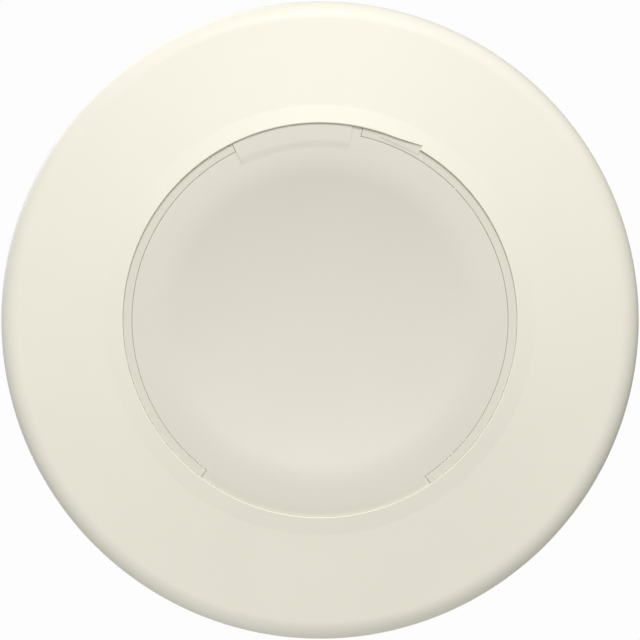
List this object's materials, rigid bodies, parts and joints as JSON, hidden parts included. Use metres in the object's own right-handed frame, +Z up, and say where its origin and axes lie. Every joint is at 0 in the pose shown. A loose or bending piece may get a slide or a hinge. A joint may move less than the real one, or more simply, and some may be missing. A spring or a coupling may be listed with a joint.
{
  "type": "fire sprinkler head",
  "caption": "Concealed pendent fire sprinkler: threaded brass head in a support cup, with domed ivory escutcheon, drop-off dished cover, fusible link and drop-down deflector.",
  "frame": {"origin": "centre of the ceiling hole in the plane of the ceiling's face, on the sprinkler's axis, at the support cup's lower end", "axes": "+Z up along the axis to the pipe; the face looks down, towards -Z; the ears stand along X and the guide pins along Y; the cover's narrow ear is on the -Y side"},
  "size_m": [0.084, 0.084, 0.0558],
  "materials": {
    "ivory_paint": "satin ivory powder coat",
    "brass": "machined, dull",
    "bronze": "stamped, lightly tarnished",
    "zinc_steel": "zinc plated, drawn",
    "stainless": "spring temper, bright",
    "nickel": "nickel plated, satin",
    "solder": "dull grey fusible alloy",
    "ptfe": "waxy white"
  },
  "bodies": {
    "sprinkler": {"sprinkler_body": "brass", "support_cup": "zinc_steel", "cup_retaining_ring": "stainless", "guide_pin_housing_front": "bronze", "guide_pin_housing_rear": "bronze"},
    "trim": {"escutcheon": "ivory_paint", "retainer_sleeve": "ivory_paint", "ejection_springs": "stainless", "spring_rivets": "stainless"},
    "cover": {"cover_dish": "ivory_paint", "cover_tabs": "brass", "cover_solder": "solder"},
    "deflector_assembly": {"deflector": "bronze", "guide_pin_front": "bronze", "guide_pin_rear": "bronze"},
    "right_lever": {"right_lever": "bronze"},
    "left_lever": {"left_lever": "bronze"},
    "right_link": {"right_link_plate": "nickel", "link_solder": "solder"},
    "left_link": {"left_link_plate": "nickel"},
    "valve": {"seal_washer": "ptfe", "seal_disc_spring": "nickel", "seal_cap": "bronze", "saddle": "brass", "compression_screw": "brass"}
  },
  "joints": [
    {"name": "escutcheon_adjust", "type": "slide", "parent": "sprinkler", "child": "trim", "axis": [0, 0, -1], "range_m": [0, 0.0127]},
    {"name": "cover_drop", "type": "slide", "parent": "trim", "child": "cover", "axis": [0, 0, -1], "range_m": [0, 0.033]},
    {"name": "deflector_drop", "type": "slide", "parent": "sprinkler", "child": "deflector_assembly", "axis": [0, 0, -1], "range_m": [0, 0.0105]},
    {"name": "valve_release", "type": "slide", "parent": "sprinkler", "child": "valve", "axis": [0, 0, -1], "range_m": [0, 0.00257]},
    {"name": "right_lever_swing", "type": "hinge", "parent": "sprinkler", "child": "right_lever", "pos_m": [0.0083, 0, 0.014], "axis": [0, -1, 0], "range_deg": [0, 35]},
    {"name": "left_lever_swing", "type": "hinge", "parent": "sprinkler", "child": "left_lever", "pos_m": [-0.0083, 0, 0.014], "axis": [0, 1, 0], "range_deg": [0, 35]},
    {"name": "right_link_level", "type": "hinge", "parent": "right_lever", "child": "right_link", "pos_m": [0.0058, 0, 0.0065], "axis": [0, 1, 0], "range_deg": [0, 35]},
    {"name": "left_link_level", "type": "hinge", "parent": "left_lever", "child": "left_link", "pos_m": [-0.0058, 0, 0.0065], "axis": [0, -1, 0], "range_deg": [0, 35]}
  ],
  "couplings": [
    {"joint": "deflector_drop", "follows": "cover_drop", "ratio": 0.31815},
    {"joint": "right_lever_swing", "follows": "valve_release", "rad_per_m": 238},
    {"joint": "left_lever_swing", "follows": "valve_release", "rad_per_m": 238},
    {"joint": "right_link_level", "follows": "valve_release", "rad_per_m": 238},
    {"joint": "left_link_level", "follows": "valve_release", "rad_per_m": 238}
  ]
}
